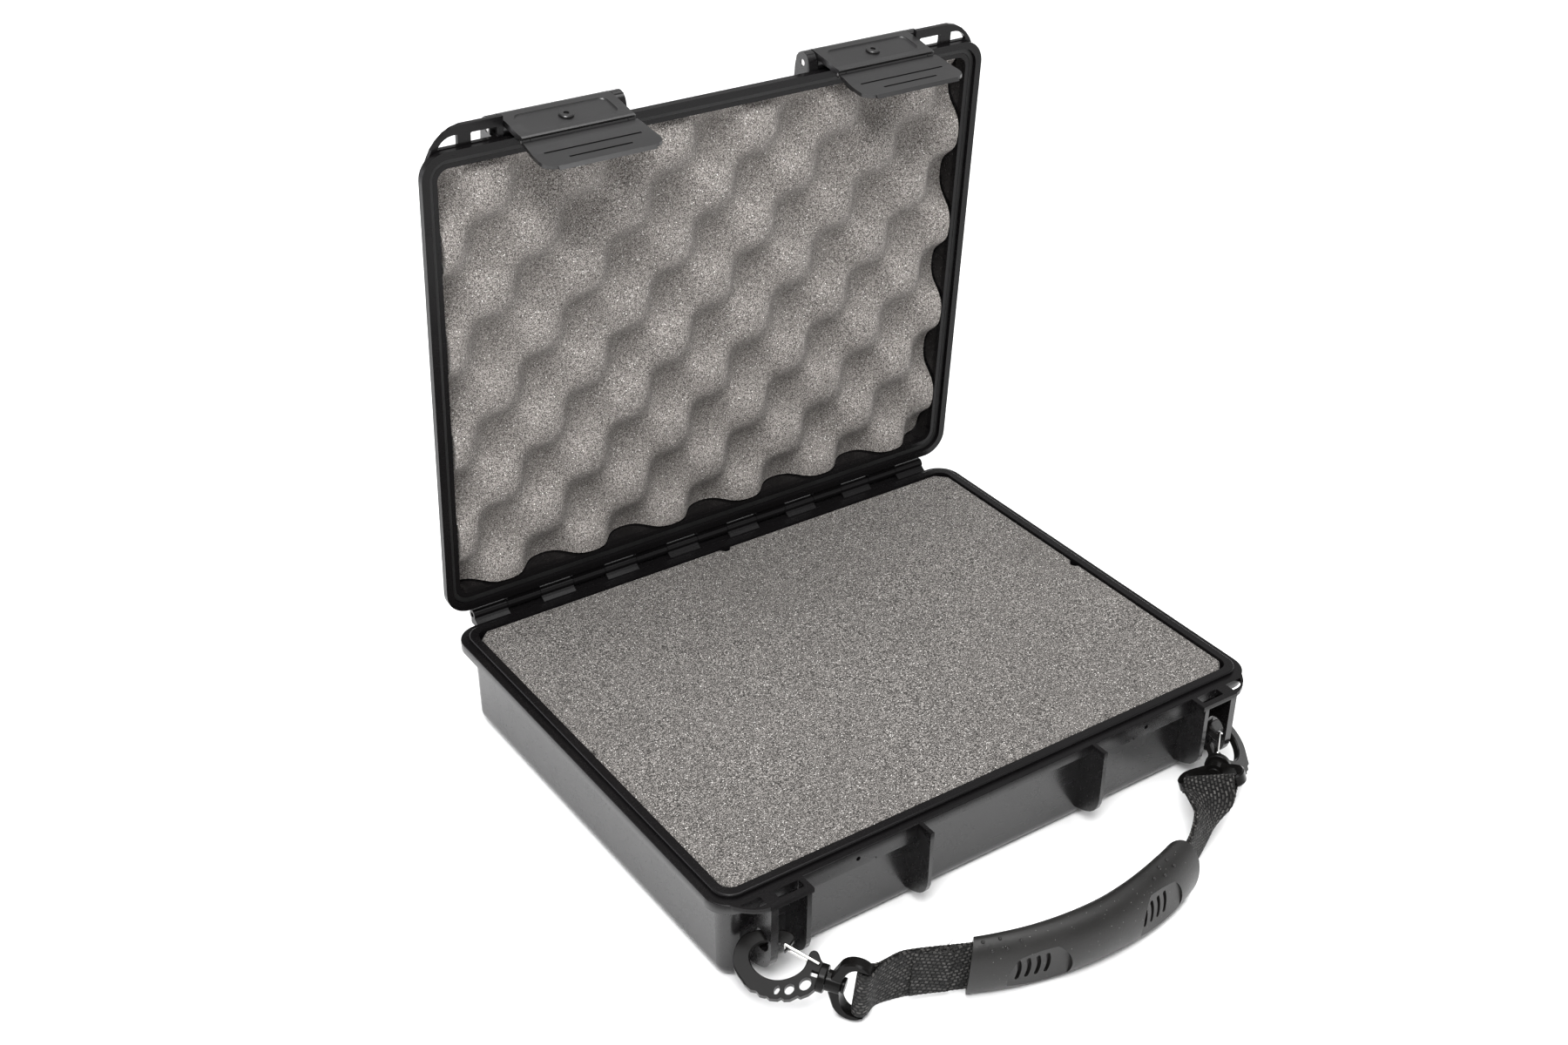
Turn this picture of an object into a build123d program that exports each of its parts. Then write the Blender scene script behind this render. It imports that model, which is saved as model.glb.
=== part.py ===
from build123d import *
import os
import math

os.makedirs("parts", exist_ok=True)

# ---------------------------------------------------------------------------
# Laptop hard case. Millimetres. X is across the case, -Y is the latch and
# handle side, +Y the hinge side, Z is up and the base stands on z = 0.
# Lid pieces and latches are drawn on the closed case and then turned about
# the hinge line into the open position the case rests in.
# ---------------------------------------------------------------------------

# rim
RIM_Z = 57.0            # mating plane of base and lid on the closed case
FLANGE_X = 180.0        # half width over the flange
FLANGE_Y = 141.8        # half depth over the flange
FLANGE_R = 14.5
BASE_FLANGE_H = 8.0     # depth of the base flange
LID_FLANGE_H = 4.9
TONGUE_X = 175.3        # outside of the raised sealing tongue
TONGUE_Y = 137.1
TONGUE_R = 10.5
TONGUE_H = 2.4
SEAT_GAP = 0.1          # air between the two flanges when shut

# walls
WALL_X = 173.3
WALL_Y = 134.7
WALL_R = 9.5
CAVITY_X = 170.5
CAVITY_Y = 131.8
CAVITY_R = 7.0
BASE_DRAFT = 1.5        # degrees
LID_DRAFT = 3.0
FLOOR_T = 2.8
BASE_BOTTOM_R = 8.0
LID_DEPTH = 20.5        # rim plane to lid top
LID_TOP_T = 2.6
LID_TOP_R = 5.0

# hinge
HINGE_Y = 148.0
HINGE_Z = RIM_Z + 3.0
KNUCKLES = 15
KNUCKLE_PITCH = 21.85
KNUCKLE_GAP = 0.35
KNUCKLE_R = 3.1
PIN_R = 1.5
LID_OPEN = 87.0         # degrees that the lid stands open at rest

# latches
LATCH_X = 98.0          # centre of each latch
LATCH_W = 66.0
PIVOT_Y = -144.5
PIVOT_Z = RIM_Z + 11.7
LATCH_BARREL_R = 6.4
LATCH_PIN_R = 2.0
LATCH_TILT = 14.2       # lean of the plate when it lies shut
LATCH_REST = 6.6        # the latch rests this far outward of shut
LEVER_Y = -142.2
LEVER_Z = RIM_Z - 13.0
LEVER_R = 1.75
LEVER_PIN_R = 0.9
TAB = 28.6               # half width of the plate between its two cheeks
SKIRT_Z = RIM_Z - 10.4  # ledge that the claw hooks under

# ribs and lugs on the base front
RIB_X = 58.9
RIB_T = 2.4
LUG_IN = (133.3, 136.1)   # inner rib of the corner lug
LUG_OUT = (153.0, 157.4)  # outer rib, which carries the handle hook
LUG_FRONT = -151.8
LUG_T = 2.7
LID_LUG_Z = RIM_Z + 3.6
HOOK_Y = -143.4         # hole for the handle hook, through the outer rib
HOOK_Z = 30.1
HOOK_HOLE_R = 6.3
SWING_Y = -143.6        # line the handle swings about, through both holes
SWING_Z = 30.0
SWING_X = 154.7

# foam
FOAM_TOP = RIM_Z + 1.3
PAD_T = 12.0
EGG_PX = 27.9           # half pitch of the egg-crate peaks across the lid
EGG_PY = 30.1           # row spacing of the peaks


def rrect(hx, hy, r):
    return RectangleRounded(2 * hx, 2 * hy, r)


def slab(hx, hy, r, z0, z1):
    return Pos(0, 0, z0) * extrude(rrect(hx, hy, r), z1 - z0)


def tub(hx, hy, r, z_top, z_bottom, draft):
    """Block with its full outline at z_top, drawn in by the draft towards z_bottom."""
    d = z_bottom - z_top
    sk = Pos(0, 0, z_top) * rrect(hx, hy, r)
    return extrude(sk, amount=d, taper=draft)


def yz_plate(points, x0, x1):
    """Plate from a (y, z) polygon, between two x positions."""
    pl = Plane(origin=(x0, 0, 0), x_dir=(0, 1, 0), z_dir=(1, 0, 0))
    f = pl * make_face(Polyline(*points, close=True))
    return extrude(f, x1 - x0)


def x_cyl(r, y, z, x0, x1):
    pl = Plane(origin=(x0, y, z), x_dir=(0, 1, 0), z_dir=(1, 0, 0))
    return extrude(pl * Circle(r), x1 - x0)


def mirror_x(s):
    return mirror(s, about=Plane.YZ)


def solid(s):
    """The single solid of a shape."""
    ss = s.solids()
    assert len(ss) == 1, len(ss)
    return ss[0]


HINGE_AXIS = Axis((0, HINGE_Y, HINGE_Z), (1, 0, 0))


def opened(s):
    return s.rotate(HINGE_AXIS, -LID_OPEN)


def knuckle_span(i):
    half = KNUCKLES * KNUCKLE_PITCH / 2
    a = -half + i * KNUCKLE_PITCH
    return a + KNUCKLE_GAP / 2, a + KNUCKLE_PITCH - KNUCKLE_GAP / 2


def lug_outline(grow=0.0):
    """Left front lug seen from above, with its padlock slot and quarter hole."""
    f = LUG_FRONT - grow
    pts = [
        (-131.9, -139.0), (-131.9, f), (-155.5, f), (-160.8, f + 1.2), (-165.0, f + 3.4),
        (-169.0, f + 6.8), (-172.2, f + 10.8), (-174.6, f + 15.5), (-176.5, -133.0), (-160.0, -133.0),
    ]
    return make_face(Polyline(*pts, close=True))


def lug_holes():
    slot = Pos(-142.6, -145.2) * RectangleRounded(15.2, 5.7, 0.8)
    arc = make_face(
        Line((-157.6, -142.2), (-169.0, -142.2))
        + ThreePointArc((-169.0, -142.2), (-165.2, -146.6), (-160.0, -148.2))
        + Line((-160.0, -148.2), (-157.6, -148.2))
        + Line((-157.6, -148.2), (-157.6, -142.2))
    )
    return slot, arc


# ---------------------------------------------------------------------------
# base shell
# ---------------------------------------------------------------------------
body = tub(WALL_X, WALL_Y, WALL_R, RIM_Z, 0, BASE_DRAFT)
body = fillet(body.edges().group_by(Axis.Z)[0], BASE_BOTTOM_R)

flange = slab(FLANGE_X, FLANGE_Y, FLANGE_R, RIM_Z - BASE_FLANGE_H, RIM_Z)
flange = chamfer(flange.edges().group_by(Axis.Z)[0], 2.2)
flange = fillet(flange.edges().group_by(Axis.Z)[-1], 0.6)
tongue = slab(TONGUE_X, TONGUE_Y, TONGUE_R, RIM_Z - 1, RIM_Z + TONGUE_H)
tongue = fillet(tongue.edges().group_by(Axis.Z)[-1], 0.9)

base = body + flange + tongue

# deeper skirt between the ribs, where the claws take hold
for s in (-1, 1):
    x0, x1 = sorted((s * (RIB_X + 1), s * (LUG_IN[0] + 0.5)))
    base += yz_plate([(-141.8, RIM_Z - 0.7), (-141.8, SKIRT_Z), (-134.2, SKIRT_Z), (-134.2, RIM_Z - 0.7)], x0, x1)

# ribs on the front wall; their feet sweep back to the bottom of the wall
rib_profile = [
    (-133.0, RIM_Z), (LUG_FRONT, RIM_Z), (LUG_FRONT, 25.5), (-151.4, 21.9), (-150.3, 18.7), (-148.4, 15.9),
    (-145.8, 13.6), (-142.6, 11.8), (-139.0, 10.4), (-133.0, 8.8),
]
for s in (-1, 1):
    for a, b in ((RIB_X - RIB_T / 2, RIB_X + RIB_T / 2), LUG_IN, LUG_OUT):
        x0, x1 = sorted((s * a, s * b))
        base += yz_plate(rib_profile, x0, x1)

# corner lugs
lug = Pos(0, 0, RIM_Z - LUG_T) * extrude(lug_outline(), LUG_T)
slot, quarter = lug_holes()
lug_cut = Pos(0, 0, RIM_Z - LUG_T - 6) * extrude(slot, LUG_T + 8)
lug_cut2 = Pos(0, 0, RIM_Z - LUG_T - 6) * extrude(quarter, LUG_T + 8)
base += lug
base += mirror_x(lug)
for c in (lug_cut, lug_cut2):
    base -= c
    base -= mirror_x(c)

# holes for the hooks of the handle, rounded at both mouths
for s in (-1, 1):
    x0, x1 = sorted((s * (LUG_OUT[0] - 1), s * (LUG_OUT[1] + 1)))
    base -= x_cyl(HOOK_HOLE_R, HOOK_Y, HOOK_Z, x0, x1)

# ledge under the hinge, between the knuckles
half = KNUCKLES * KNUCKLE_PITCH / 2
ledge = Pos(0, 145.4, 55.0) * Box(2 * half - 1, 9.8, 3.2)
base += chamfer(ledge.edges().filter_by(Axis.X).sort_by(Axis.Z)[:2], 0.8)

# hinge knuckles of the base
arm = [(140.6, 50.2), (142.0, 50.2), (150.4, 58.0), (149.0, 60.0), (145.4, 59.2), (144.0, 57.9), (140.6, 55.9)]
for i in range(0, KNUCKLES, 2):
    a, b = knuckle_span(i)
    base += yz_plate(arm, a, b)
    base += x_cyl(KNUCKLE_R, HINGE_Y, HINGE_Z, a, b)

# inside of the base
cavity = tub(CAVITY_X, CAVITY_Y, CAVITY_R, RIM_Z + TONGUE_H + 0.5, FLOOR_T, BASE_DRAFT)
cavity = fillet(cavity.edges().group_by(Axis.Z)[0], 5.0)
wall_ribs = (
    Pos(0, CAVITY_Y, 0) * extrude(Pos(0, 0, FLOOR_T) * Circle(2.6), RIM_Z - 3 - FLOOR_T)
    + Pos(0, -CAVITY_Y, 0) * extrude(Pos(0, 0, FLOOR_T) * Circle(2.6), RIM_Z - 3 - FLOOR_T)
    + Pos(CAVITY_X, 0, 0) * extrude(Pos(0, 0, FLOOR_T) * Circle(2.6), RIM_Z - 3 - FLOOR_T)
    + Pos(-CAVITY_X, 0, 0) * extrude(Pos(0, 0, FLOOR_T) * Circle(2.6), RIM_Z - 3 - FLOOR_T)
)
base -= cavity - wall_ribs
base -= x_cyl(PIN_R + 0.02, HINGE_Y, HINGE_Z, -200, 200)
# small drain hole and moulding notch in each latch bay of the skirt
for s in (-1, 1):
    base -= Pos(s * 98.0, -139.4, RIM_Z - 5) * Rot(90, 0, 0) * Cylinder(1.3, 6)
    base -= Pos(s * 88.0, -141.4, SKIRT_Z) * Box(3.0, 1.6, 3.0)
base = solid(base)

# ---------------------------------------------------------------------------
# hinge pin, a steel rod the length of the hinge
# ---------------------------------------------------------------------------
hinge_pin = solid(x_cyl(PIN_R, HINGE_Y, HINGE_Z, -half + 1.5, half - 1.5))

# ---------------------------------------------------------------------------
# foam in the base: a pad under the pick-and-pluck block
# ---------------------------------------------------------------------------
draft_in = math.tan(math.radians(BASE_DRAFT))


def foam_block(z_top, z_bottom, bevel):
    top_in = (RIM_Z + TONGUE_H + 0.5 - z_top) * draft_in + 0.35
    f = tub(CAVITY_X - top_in, CAVITY_Y - top_in, CAVITY_R, z_top, z_bottom, BASE_DRAFT)
    if bevel:
        f = chamfer(f.edges().group_by(Axis.Z)[0], 5.2)
    for x, y in ((0, CAVITY_Y), (0, -CAVITY_Y), (CAVITY_X, 0), (-CAVITY_X, 0)):
        f -= Pos(x, y, z_bottom - 1) * extrude(Circle(3.4), z_top - z_bottom + 2)
    for sx in (-1, 1):
        for sy in (-1, 1):
            f -= Pos(sx * (CAVITY_X - 1.0), sy * (CAVITY_Y - 1.0), z_bottom - 1) * extrude(
                Rot(0, 0, 45 * sx * sy) * Rectangle(7.5, 11), z_top - z_bottom + 2)
    return solid(f)


foam_pad = foam_block(FLOOR_T + 0.1 + PAD_T, FLOOR_T + 0.1, True)
foam_pluck = foam_block(FOAM_TOP, FLOOR_T + 0.1 + PAD_T, False)

# ---------------------------------------------------------------------------
# lid shell, drawn shut
# ---------------------------------------------------------------------------
Z0 = RIM_Z + SEAT_GAP
LID_TOP = RIM_Z + LID_DEPTH
lid = tub(WALL_X, WALL_Y, WALL_R, Z0, LID_TOP, LID_DRAFT)
lid = fillet(lid.edges().group_by(Axis.Z)[-1], LID_TOP_R)
lflange = slab(FLANGE_X, FLANGE_Y, FLANGE_R, Z0, RIM_Z + LID_FLANGE_H)
lflange = fillet(lflange.edges().group_by(Axis.Z)[-1], 0.8)
shoulder = Pos(0, 0, RIM_Z + LID_FLANGE_H - 0.5) * extrude(rrect(FLANGE_X - 1.6, FLANGE_Y - 1.6, FLANGE_R - 1.6), 3.6, taper=30)
lid = lid + lflange + shoulder

# ears that carry the latch pins
ear = [(-133.0, 61.5), (-141.0, 61.5), (-145.4, 62.4), (-150.2, 65.6), (-150.6, 70.5), (-147.0, 74.6), (-141.5, 75.8), (-133.0, 76.4)]
EARS = ((58.6, 64.5), (131.5, 137.4))
for s in (-1, 1):
    for a, b in EARS:
        x0, x1 = sorted((s * a, s * b))
        lid += yz_plate(ear, x0, x1) + x_cyl(6.2, PIVOT_Y, PIVOT_Z, x0, x1)

# lugs at the lid corners, in line with those of the base
llug = Pos(0, 0, LID_LUG_Z) * extrude(lug_outline(1.4), LUG_T)
for m in (llug, mirror_x(llug)):
    lid += m
for c in (slot, quarter):
    k = Pos(0, 0, LID_LUG_Z - 3) * extrude(c, LUG_T + 5)
    lid -= k
    lid -= mirror_x(k)

# knuckles of the lid
larm = [(140.6, 58.2), (146.0, 58.2), (148.0, 58.6), (149.0, 61.0), (147.0, 61.6), (140.6, 61.6)]
for i in range(1, KNUCKLES, 2):
    a, b = knuckle_span(i)
    lid += yz_plate(larm, a, b)
    lid += x_cyl(KNUCKLE_R, HINGE_Y, HINGE_Z, a, b)

# inside of the lid, the recess for the tongue and the gasket channel
lcav = tub(CAVITY_X, CAVITY_Y, CAVITY_R, Z0 - 0.5, LID_TOP - LID_TOP_T, LID_DRAFT)
lcav = fillet(lcav.edges().group_by(Axis.Z)[-1], 3.5)
lid -= lcav
REC_Z = RIM_Z + 2.75
lid -= slab(TONGUE_X + 0.5, TONGUE_Y + 0.5, TONGUE_R + 0.5, Z0 - 1, REC_Z)
CH_OUT = (TONGUE_X + 0.5, TONGUE_Y + 0.5, TONGUE_R + 0.5)
CH_IN = (173.0, 134.4, 8.5)
CH_TOP = RIM_Z + 5.6
lid -= slab(*CH_OUT, REC_Z - 1, CH_TOP) - slab(*CH_IN, REC_Z - 2, CH_TOP + 1)
lid -= x_cyl(PIN_R + 0.05, HINGE_Y, HINGE_Z, -200, 200)
for s in (-1, 1):
    for a, b in EARS:
        x0, x1 = sorted((s * (a - 1), s * (b + 1)))
        lid -= x_cyl(LATCH_PIN_R + 0.02, PIVOT_Y, PIVOT_Z, x0, x1)
lid = solid(lid)

# gasket in its channel
gasket = slab(CH_OUT[0] - 0.15, CH_OUT[1] - 0.15, CH_OUT[2], RIM_Z + TONGUE_H + 0.15, CH_TOP - 0.05)
gasket -= slab(CH_IN[0] + 0.15, CH_IN[1] + 0.15, CH_IN[2], RIM_Z, CH_TOP + 1)
gasket = solid(gasket)

# egg-crate foam
FOAM_BACK = LID_TOP - LID_TOP_T - 0.1
VALLEY = FOAM_BACK - 4.2
tan_l = math.tan(math.radians(LID_DRAFT))
inset = (FOAM_BACK - Z0) * tan_l + 0.6
lfoam = Pos(0, 0, VALLEY) * extrude(rrect(CAVITY_X - inset, CAVITY_Y - inset, 6), FOAM_BACK - VALLEY)
lfoam = chamfer(lfoam.edges().group_by(Axis.Z)[-1], 3.0)
PEAK_Z = RIM_Z + 1.6
cones = []
for j in range(-6, 7):
    for i in range(-8, 9):
        x = EGG_PX * i
        y = 126.9 - EGG_PY * (j + 4)
        if (i + j) % 2 == 0:
            continue
        if abs(x) > CAVITY_X - 2 or abs(y) > CAVITY_Y - 2:
            continue
        cones.append((x, y))
peak_h = VALLEY - PEAK_Z
bound = slab(CAVITY_X - 1.6, CAVITY_Y - 1.6, 6, PEAK_Z, VALLEY + 0.5)
for x, y in cones:
    k = Pos(x, y, VALLEY + 0.2) * Rot(180, 0, 0) * extrude(Circle(13.0), peak_h + 0.2, taper=28)
    if abs(x) > CAVITY_X - 15 or abs(y) > CAVITY_Y - 15:
        k = k & bound
    lfoam += k
lfoam = solid(lfoam)

# ---------------------------------------------------------------------------
# latches, drawn shut on the closed case
# ---------------------------------------------------------------------------
t = math.radians(LATCH_TILT)
E = (math.sin(t), -math.cos(t))      # down the plate
N = (-math.cos(t), -math.sin(t))     # outward


def on_plate(down, out):
    return (PIVOT_Y + E[0] * down + N[0] * out, PIVOT_Z + E[1] * down + N[1] * out)


def latch_plate(cx):
    x0, x1 = cx - LATCH_W / 2, cx + LATCH_W / 2
    y, z = LEVER_Y, LEVER_Z
    prof = [
        on_plate(-1.0, 6.35), on_plate(12.0, 6.7), on_plate(21.0, 6.5), (y - 2.9, z - 0.6), (y - 2.35, z - 1.9),
        (y - 1.6, z - 1.7), (y - 0.6, z + 3.6), on_plate(18.0, 3.3), on_plate(6.0, 3.3), on_plate(2.0, 0.0), on_plate(0.0, 1.0),
    ]
    p = yz_plate(prof, x0, x1) + x_cyl(LATCH_BARREL_R, PIVOT_Y, PIVOT_Z, x0, x1)
    # cheeks that carry the lever pin, one at each end
    for s in (-1, 1):
        a, b = sorted((cx + s * TAB, cx + s * LATCH_W / 2))
        p += x_cyl(LEVER_R, y, z, a, b)
        p += yz_plate([(y - 1.3, z + 4.9), (y - 0.6, z + 3.45), (y - 0.3, z + 1.6), (y + 0.3, z + 0.2), (y + 1.0, z + 0.6), (y + 0.3, z + 2.0), (y + 0.2, z + 3.0), (y + 0.1, z + 6.0), (y - 1.0, z + 7.0)], a, b)
    p -= x_cyl(LEVER_R + 0.3, y, z, cx - TAB, cx + TAB)
    # sunk panel with soft edges and a raised central boss
    pl = Plane(origin=(cx, *on_plate(11.6, 6.65)), x_dir=(1, 0, 0), z_dir=(0, N[0], N[1]))
    panel = extrude(pl.offset(-0.9) * RectangleRounded(54.6, 17.1, 4.2), 3)
    panel = chamfer(panel.edges().filter_by(lambda e: abs(pl.to_local_coords(e.center()).Z + 0.9) < 0.05), 0.55)
    p -= panel
    boss = extrude(pl.offset(-1.2) * Circle(4.1), 1.7)
    boss = chamfer(boss.edges().filter_by(lambda e: pl.to_local_coords(e.center()).Z > 0.3), 0.45)
    p += boss
    p -= extrude(pl.offset(-0.4) * Circle(1.5), 3)
    p -= x_cyl(LATCH_PIN_R + 0.05, PIVOT_Y, PIVOT_Z, x0 - 1, x1 + 1)
    p -= x_cyl(LEVER_PIN_R + 0.02, y, z, x0 - 1, x1 + 1)
    p = p & (Pos(cx, 0, 0) * Box(LATCH_W - 0.02, 400, 400))
    return solid(p)


def latch_lever(cx):
    y, z = LEVER_Y, LEVER_Z
    k = TAB - 0.35
    lv = x_cyl(LEVER_R, y, z, cx - k, cx + k)
    # lip: a slightly hollow plate that hangs from the knuckle
    blade = [
        (y - 0.3, z - 1.5), (y - 0.35, z - 2.3), (y - 0.2, z - 3.6), (y + 0.55, z - 7.2), (y + 2.7, z - 15.0), (y + 4.1, z - 22.5), (y + 5.4, z - 29.4),
        (y + 7.3, z - 31.0), (y + 6.3, z - 23.0), (y + 4.9, z - 15.4), (y + 2.8, z - 7.4), (y + 1.7, z - 3.4), (y + 1.4, z - 0.8), (y, z),
    ]
    lv += yz_plate(blade, cx - k, cx + k)
    # the outline widens and ends in a shallow bow
    side = [(28.6, 3.0), (33.4, 3.0), (33.6, -3.5), (34.5, -13.2), (34.9, -21.2), (34.6, -24.4), (33.2, -27.0), (30.6, -28.7), (24.0, -30.0), (12.0, -30.85), (0.0, -31.1)]
    outline = [(cx + a, z + b) for a, b in side] + [(cx - a, z + b) for a, b in side[-2::-1]]
    sheet = extrude(make_face(Plane.XZ * Polyline(*outline, close=True)), 200, both=True)
    lv += yz_plate(blade[1:12] + [(y + 0.6, z - 2.7)], cx - 36, cx + 36) & sheet
    # claw: hooks under the skirt of the base
    claw = [(y + 0.4, z + 1.3), (y + 1.0, z + 2.1), (y + 2.4, z + 2.1), (y + 2.4, z + 0.4), (y + 1.9, z - 2.0), (y + 0.2, z - 2.0)]
    lv += yz_plate(claw, cx - k + 1, cx + k - 1)
    # stiffening webs behind both ends
    web = [(y + 1.6, z - 3.6), (y + 3.6, z - 5.0), (y + 5.4, z - 8.0), (y + 6.6, z - 11.5), (y + 6.6, z - 14.0), (y + 5.6, z - 16.0), (y + 4.4, z - 16.0), (y + 2.0, z - 8.0)]
    for s in (-1, 1):
        a, b = sorted((cx + s * 29.6, cx + s * 32.4))
        lv += yz_plate(web, a, b)
    # two finger grooves across the lip
    tilt = math.degrees(math.atan2(1.4, 7.5))
    lv -= Pos(cx, y + 2.62, z - 15.2) * Rot(tilt, 0, 0) * Box(56.5, 1.4, 1.3)
    lv -= Pos(cx, y + 4.15, z - 23.0) * Rot(tilt, 0, 0) * Box(36.5, 1.4, 1.3)
    lv -= x_cyl(LEVER_PIN_R + 0.05, y, z, cx - 40, cx + 40)
    return solid(lv)


def latch_pin(cx):
    return solid(x_cyl(LATCH_PIN_R, PIVOT_Y, PIVOT_Z, cx - 39.0, cx + 39.0))


def lever_pin(cx):
    return solid(x_cyl(LEVER_PIN_R, LEVER_Y, LEVER_Z, cx - LATCH_W / 2 + 0.2, cx + LATCH_W / 2 - 0.2))


PIVOT_AXIS = Axis((0, PIVOT_Y, PIVOT_Z), (1, 0, 0))


def at_rest(s):
    """A latch piece, swung a little outward and then carried up with the lid."""
    return opened(s.rotate(PIVOT_AXIS, -LATCH_REST))


# ---------------------------------------------------------------------------
# carrying handle: two snap hooks, swivel eyes, one webbing strap and a grip.
# Each hook is drawn flat in its own plane with the point that sits in the lug
# hole at its origin, then placed.
# ---------------------------------------------------------------------------
HOOK_T = 4.0
HOOK_COLLAR = (28.5, -19.6)     # centre of the swivel collar in the hook's plane
HOOK_STUD = (0.954, -0.300)     # direction of the stud from there
COLLAR_R = 7.2
COLLAR_T = 4.0
STUD_R = 2.5
STUD_HEAD_R = 4.0
GATE_ROOT = (26.3, -13.4)
GATE_TIP = (9.6, -4.1)
WIRE_R = 0.75
EYE_T = 7.0
EYE_BAR_U = 20.5                # collar centre to the bar the strap runs round
EYE_BAR_R = 2.6
STRAP_W = 29.0
STRAP_T = 1.7                   # one layer
GRIP_H = 34.0
GRIP_R = 181.9                  # radius of the grip's centre line
GRIP_MID = (1.25, -221.0)
GRIP_ENDS = (-24.6, 19.6)       # angles at its two ends
GRIP_ROLL = 13.0                # roll of its right half, top towards the case
GRIP_Z = GRIP_H / 2


def unit(v):
    return Vector(*v).normalized()


def hook_frame(origin, a, b):
    """Plane with its x axis along a and its y axis as near b as it can be."""
    x = unit(a)
    y = (Vector(*b) - x * x.dot(Vector(*b))).normalized()
    return Plane(origin=origin, x_dir=x, z_dir=x.cross(y))


HOOKS = {
    "left": hook_frame((-SWING_X, SWING_Y, SWING_Z), (0.7943, -0.6073, 0.0183), (0.5359, 0.7145, 0.4498)),
    "right": hook_frame((SWING_X, SWING_Y, SWING_Z), (-0.878, -0.323, 0.353), (-0.043, 0.788, 0.614)),
}


def hook_body():
    outer = Spline([(-9.4, -24.3), (-12.9, -19.6), (-15.1, -15.5), (-15.7, -11.3), (-14.6, -5.0), (-12.0, -0.4), (-9.5, 1.7),
                   (-6.0, 3.0), (-1.5, 3.6), (3.0, 3.7), (7.0, 3.8), (11.0, 3.2), (13.6, 1.5), (14.2, -0.4), (13.0, -2.9), (10.9, -6.0), (9.6, -7.2)])
    tooth = Polyline((9.6, -7.2), (7.9, -5.6), (7.4, -2.9), (4.5, -2.7), (0.0, -2.8))
    inner = Spline([(0.0, -2.8), (-2.5, -3.4), (-5.5, -5.7), (-7.2, -8.8), (-7.1, -12.4), (-4.9, -16.6), (-0.9, -19.8), (5.1, -21.7),
                   (11.1, -20.9), (16.1, -18.4), (19.5, -14.8), (20.8, -10.8), (21.4, -8.6), (22.8, -6.6), (24.6, -6.4), (26.2, -7.8), (27.2, -10.2), (28.8, -12.4)])
    back = Polyline((28.8, -12.4), (24.8, -26.0), (22.0, -28.4), (18.1, -30.1), (16.6, -29.4), (15.1, -30.3), (13.1, -31.4), (10.1, -31.6),
                    (8.9, -30.5), (7.1, -31.5), (3.1, -31.3), (1.6, -29.9), (0.6, -30.1), (-1.9, -29.5), (-3.4, -27.6), (-6.4, -27.1), (-9.4, -24.3))
    face = make_face([*outer.edges(), *tooth.edges(), *inner.edges(), *back.edges()])
    b = extrude(face, HOOK_T / 2, both=True)
    b = chamfer(b.edges().filter_by(GeomType.BSPLINE), 0.7)
    # three lightening holes
    for c, rx, ry, ang in (((6.6, -26.9), 1.3, 2.3, -20), ((12.6, -26.3), 2.2, 2.9, -30), ((20.2, -23.5), 2.6, 3.5, -35)):
        b -= Pos(c[0], c[1], 0) * Rot(0, 0, ang) * extrude(Ellipse(rx, ry), 10, both=True)
    # seat for the cross wire of the gate, open towards the inside
    d = math.atan2(GATE_TIP[1] - GATE_ROOT[1], GATE_TIP[0] - GATE_ROOT[0])
    inward = (-math.sin(d), math.cos(d))
    ang = math.degrees(math.atan2(inward[1], inward[0]))
    b -= Pos(GATE_TIP[0], GATE_TIP[1], 0) * Cylinder(WIRE_R + 0.3, 12)
    b -= Pos(GATE_TIP[0] + inward[0] * 4, GATE_TIP[1] + inward[1] * 4, 0) * Rot(0, 0, ang) * Box(8, 2 * WIRE_R + 0.6, 12)
    b -= Pos(GATE_TIP[0] + inward[0] * 4 - 1.4, GATE_TIP[1] + inward[1] * 4 + 0.3, 0) * Rot(0, 0, ang) * Box(7, 2 * WIRE_R + 0.6, 12)
    parts = b.solids()
    b = max(parts, key=lambda q: q.volume)
    pl = Plane(origin=(*HOOK_COLLAR, 0), x_dir=(0, 0, 1), z_dir=(*HOOK_STUD, 0))
    collar = extrude(pl * Circle(COLLAR_R), COLLAR_T / 2, both=True)
    collar = fillet(collar.edges(), 0.7)
    b = b + collar
    b -= extrude(pl * Circle(STUD_R), 6, both=True)
    b -= Pos(GATE_ROOT[0], GATE_ROOT[1], 0) * Cylinder(WIRE_R + 0.05, 12)
    return solid(b)


def gate_wire():
    off = HOOK_T / 2 + 0.15 + WIRE_R
    rx, ry = GATE_ROOT
    tx, ty = GATE_TIP
    d = Vector(tx - rx, ty - ry, 0)
    g = None
    for s in (-1, 1):
        pl = Plane(origin=(rx, ry, s * off), z_dir=d.normalized())
        leg = extrude(pl * Circle(WIRE_R), d.length)
        stub = extrude(Plane(origin=(rx, ry, s * off), z_dir=(0, 0, -s)) * Circle(WIRE_R), off - 0.4)
        knee = Pos(rx, ry, s * off) * Sphere(WIRE_R)
        tip = Pos(tx, ty, s * off) * Sphere(WIRE_R)
        q = leg + stub + knee + tip
        g = q if g is None else g + q
    g += Pos(tx, ty, 0) * Cylinder(WIRE_R, 2 * off)
    return solid(g)


def stud():
    pl = Plane(origin=(*HOOK_COLLAR, 0), x_dir=(0, 0, 1), z_dir=(*HOOK_STUD, 0))
    a = extrude(pl.offset(-COLLAR_T / 2 + 0.3) * Circle(STUD_R), 10.6 + COLLAR_T / 2)
    h = extrude(pl.offset(10.1) * Circle(STUD_HEAD_R), 1.8)
    h = fillet(h.edges(), 0.5)
    return solid(a + h)


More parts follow.
